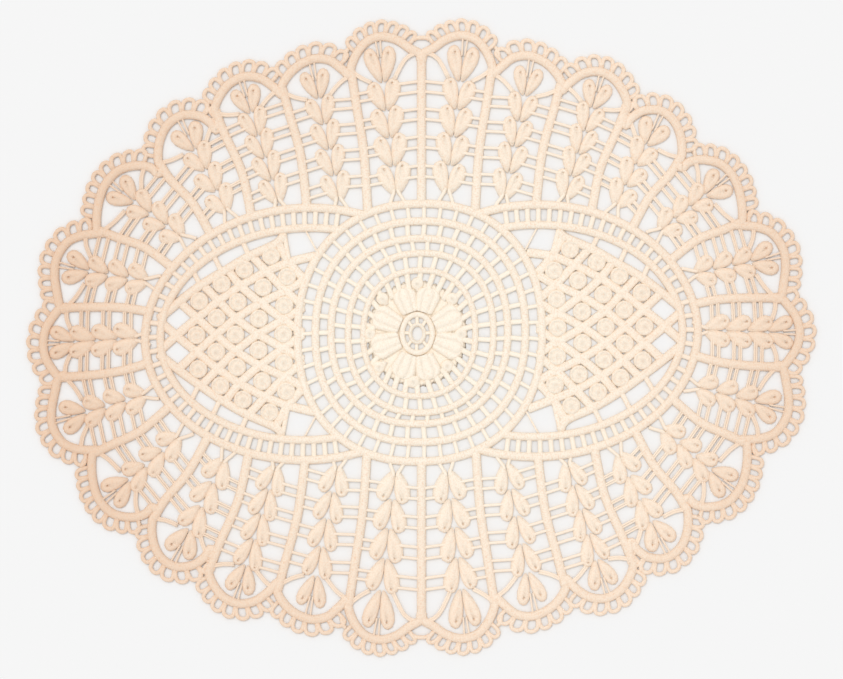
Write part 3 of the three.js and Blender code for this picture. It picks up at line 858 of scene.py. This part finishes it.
# ---------------------------------------------------------------------------------------------
# Flower. Eight padded petals with three ribs each lie two by two round a ring, which short
# spokes tie to a smaller one. Balls of stitches fill the corners, and threads tie all of them
# to the innermost ring of the middle.
FLOWER_MIDDLE = np.array([-2.4, 2.2])
PETALS = ((24.6, 15.5), (73.8, 13.4), (109, 13.0), (155.7, 14.2),      # turn, and width
          (199, 14.6), (249, 13.8), (286.6, 14.0), (341, 15.2))
PETAL_FROM = 10.3       # from the middle, and at the top and bottom farther by this share
PETAL_FARTHER = 0.24
PETAL_TO = 27.2
PETAL_ROUND = 6.2       # the outer stretch of a petal, over which it rounds off
PETAL_BLUNT = 0.97      # the share of that rounding which its very end reaches
PETAL_WAIST = 0.35      # shares of the width above: at the middle of the flower,
PETAL_SPREADS = 0.033   # and added by each millimetre outwards
FLOWER_HEIGHT = 2.6
GROUND_RADIUS = 18.2    # a thin ground of stitches lies under the petals
GROUND_WIDTH = 20.4
GROUND_HEIGHT = 0.6
GROUND_STRETCH = 1.1
FLOWER_RINGS = ((8.6, 3.4), (4.0, 2.2))         # radius, and width
HUB_HEIGHT = 2.7
HUB_STRETCH = 1.27      # both rings are drawn out by this along the width of the mat
SPOKES = (3, 50, 91, 133, 177, 224, 267, 314)
SPOKE_REACH = (3.9, 8.9)
SPOKE_WIDTH = 2.2
SPOKE_HEIGHT = 1.7
FRINGE_TURNS = 12 * np.arange(30) + 5           # threads from the flower to the ring about it
FRINGE_FROM = 24
FRINGE_WIDTH = 3.6
FRINGE_HEIGHT = 1.3
FRINGE_BASE = 0.3
BALLS = ((0, 24.7), (45, 28), (90, 28.4), (135, 28),       # turn, and distance from the middle
         (180, 27), (221, 29), (265, 27.5), (-47, 25))
BALL_RADIUS = 3.7
BALL_HEIGHT = 2.7
BALL_KNOTS = 0.06
ball_profile = np.array([(0.12, 1), (0.4, 0.95), (0.68, 0.8), (0.88, 0.55), (1, 0.3), (0.9, 0)])
RIBBED = np.array([(0.95, 0), (1, 0.45), (0.76, 0.94), (0.5, 0.92), (0.4, 0.66), (0.3, 0.94),
                   (0, 1.02), (-0.3, 0.94), (-0.4, 0.66), (-0.5, 0.92), (-0.76, 0.94),
                   (-1, 0.45), (-0.95, 0)])


def polar(degrees, radius, stretch=1.0):
    """Points about the middle of the flower, drawn out along y by the stretch."""
    turn = np.radians(degrees)
    way = np.stack([np.cos(turn), stretch * np.sin(turn)], -1)
    return FLOWER_MIDDLE + np.asarray(radius)[..., None] * way


petals = np.array(PETALS)[:, :, None]
petal_start = PETAL_FROM * (1 + PETAL_FARTHER * np.sin(np.radians(petals[:, 0, 0])) ** 2)
petal_run = np.linspace(petal_start, PETAL_TO, 18, axis=-1)
petal_width = petals[:, 1] * (PETAL_WAIST + PETAL_SPREADS * petal_run)
round_off = np.clip((petal_run - PETAL_TO + PETAL_ROUND) / PETAL_ROUND, 0, PETAL_BLUNT)
round_off = np.sqrt(1 - round_off ** 2)
flower_grids = [carry(polar(petals[:, 0], petal_run), petal_width * round_off,
                      FLOWER_HEIGHT * round_off ** 0.4, RIBBED, relief=0.03)]
ground = polar(np.linspace(0, 360, 120, endpoint=False), GROUND_RADIUS, GROUND_STRETCH)
flower_grids.append(carry(ground, GROUND_WIDTH, GROUND_HEIGHT, relief=0.04, closed=True))
for radius, width in FLOWER_RINGS:
    path = polar(np.linspace(0, 360, 72, endpoint=False), radius, HUB_STRETCH)
    flower_grids.append(carry(path, width, HUB_HEIGHT, relief=STITCH_RELIEF, closed=True))
spoke_ends = [polar(SPOKES, radius, HUB_STRETCH) for radius in SPOKE_REACH]
flower_grids.append(carry(straight(*spoke_ends), SPOKE_WIDTH, SPOKE_HEIGHT, ROUND))
fringe = straight(polar(FRINGE_TURNS, FRINGE_FROM), lay(ring_point(RINGS[-1], FRINGE_TURNS)))
flower_grids.append(carry(fringe, FRINGE_WIDTH, FRINGE_HEIGHT, ROUND, base=FRINGE_BASE))
ball_places = np.array(BALLS, float)
flower_grids.append(rounds(polar(ball_places[:, 0], ball_places[:, 1]), BALL_RADIUS,
                           ball_profile, BALL_HEIGHT, BALL_KNOTS, KNOT_COLUMNS))
flower_cotton = cotton("flower_cotton", 0.6, 0.3)
flower = piece("flower", flower_grids, flower_cotton)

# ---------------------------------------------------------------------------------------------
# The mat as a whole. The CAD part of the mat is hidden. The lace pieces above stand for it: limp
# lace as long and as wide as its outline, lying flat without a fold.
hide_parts("placemat")

# ---------------------------------------------------------------------------------------------
# Studio: a plain pale floor under the mat, even light from a white sky, and one large soft
# lamp high above its top left. The camera looks straight down.
FLOOR_HALF = 4
FLOOR_HEIGHT = -0.0001  # a little below the mat
FLOOR_SHADE = 0.866
SKY_STRENGTH = 0.8
LAMP_STRENGTH = 0.9
LAMP_SPREAD = 25        # degrees
LAMP_TILT = (-19, -12)
FRAME_WIDTH = 0.4796    # metres of the floor that fill the frame from side to side
CAMERA_HEIGHT = 1.5
CAMERA_ASIDE = -0.00114         # towards the bottom of the mat
FILM_WIDTH = 36
floor_mesh = bpy.data.meshes.new("floor")
floor_mesh.from_pydata([(x * FLOOR_HALF, y * FLOOR_HALF, FLOOR_HEIGHT)
                        for x, y in QUARTERS[[2, 3, 0, 1]]], [], [(0, 1, 2, 3)])
floor = bpy.data.objects.new("floor", floor_mesh)
bpy.context.scene.collection.objects.link(floor)
paper = bpy.data.materials.new("floor_paper")
paper.use_nodes = True
paper_sockets = paper.node_tree.nodes["Principled BSDF"].inputs
paper_sockets["Base Color"].default_value = (FLOOR_SHADE, FLOOR_SHADE, FLOOR_SHADE, 1)
paper_sockets["Roughness"].default_value = 0.9
paper_sockets["Specular IOR Level"].default_value = 0.0
floor_mesh.materials.append(paper)

world = bpy.data.worlds.new("sky")
world.use_nodes = True
bpy.context.scene.world = world
sky_sockets = world.node_tree.nodes["Background"].inputs
sky_sockets["Color"].default_value = (1, 1, 1, 1)
sky_sockets["Strength"].default_value = SKY_STRENGTH

lamp = bpy.data.lights.new("soft_lamp", "SUN")
lamp.energy = LAMP_STRENGTH
lamp.angle = np.radians(LAMP_SPREAD)
sun = bpy.data.objects.new("soft_lamp", lamp)
sun.rotation_euler = (*np.radians(LAMP_TILT), 0)
bpy.context.scene.collection.objects.link(sun)

lens = bpy.data.cameras.new("camera")
lens.sensor_width = FILM_WIDTH
lens.lens = FILM_WIDTH * CAMERA_HEIGHT / FRAME_WIDTH
camera = bpy.data.objects.new("camera", lens)
camera.location = (0, CAMERA_ASIDE, CAMERA_HEIGHT)
bpy.context.scene.collection.objects.link(camera)
bpy.context.scene.camera = camera
bpy.context.scene.view_settings.view_transform = "Standard"
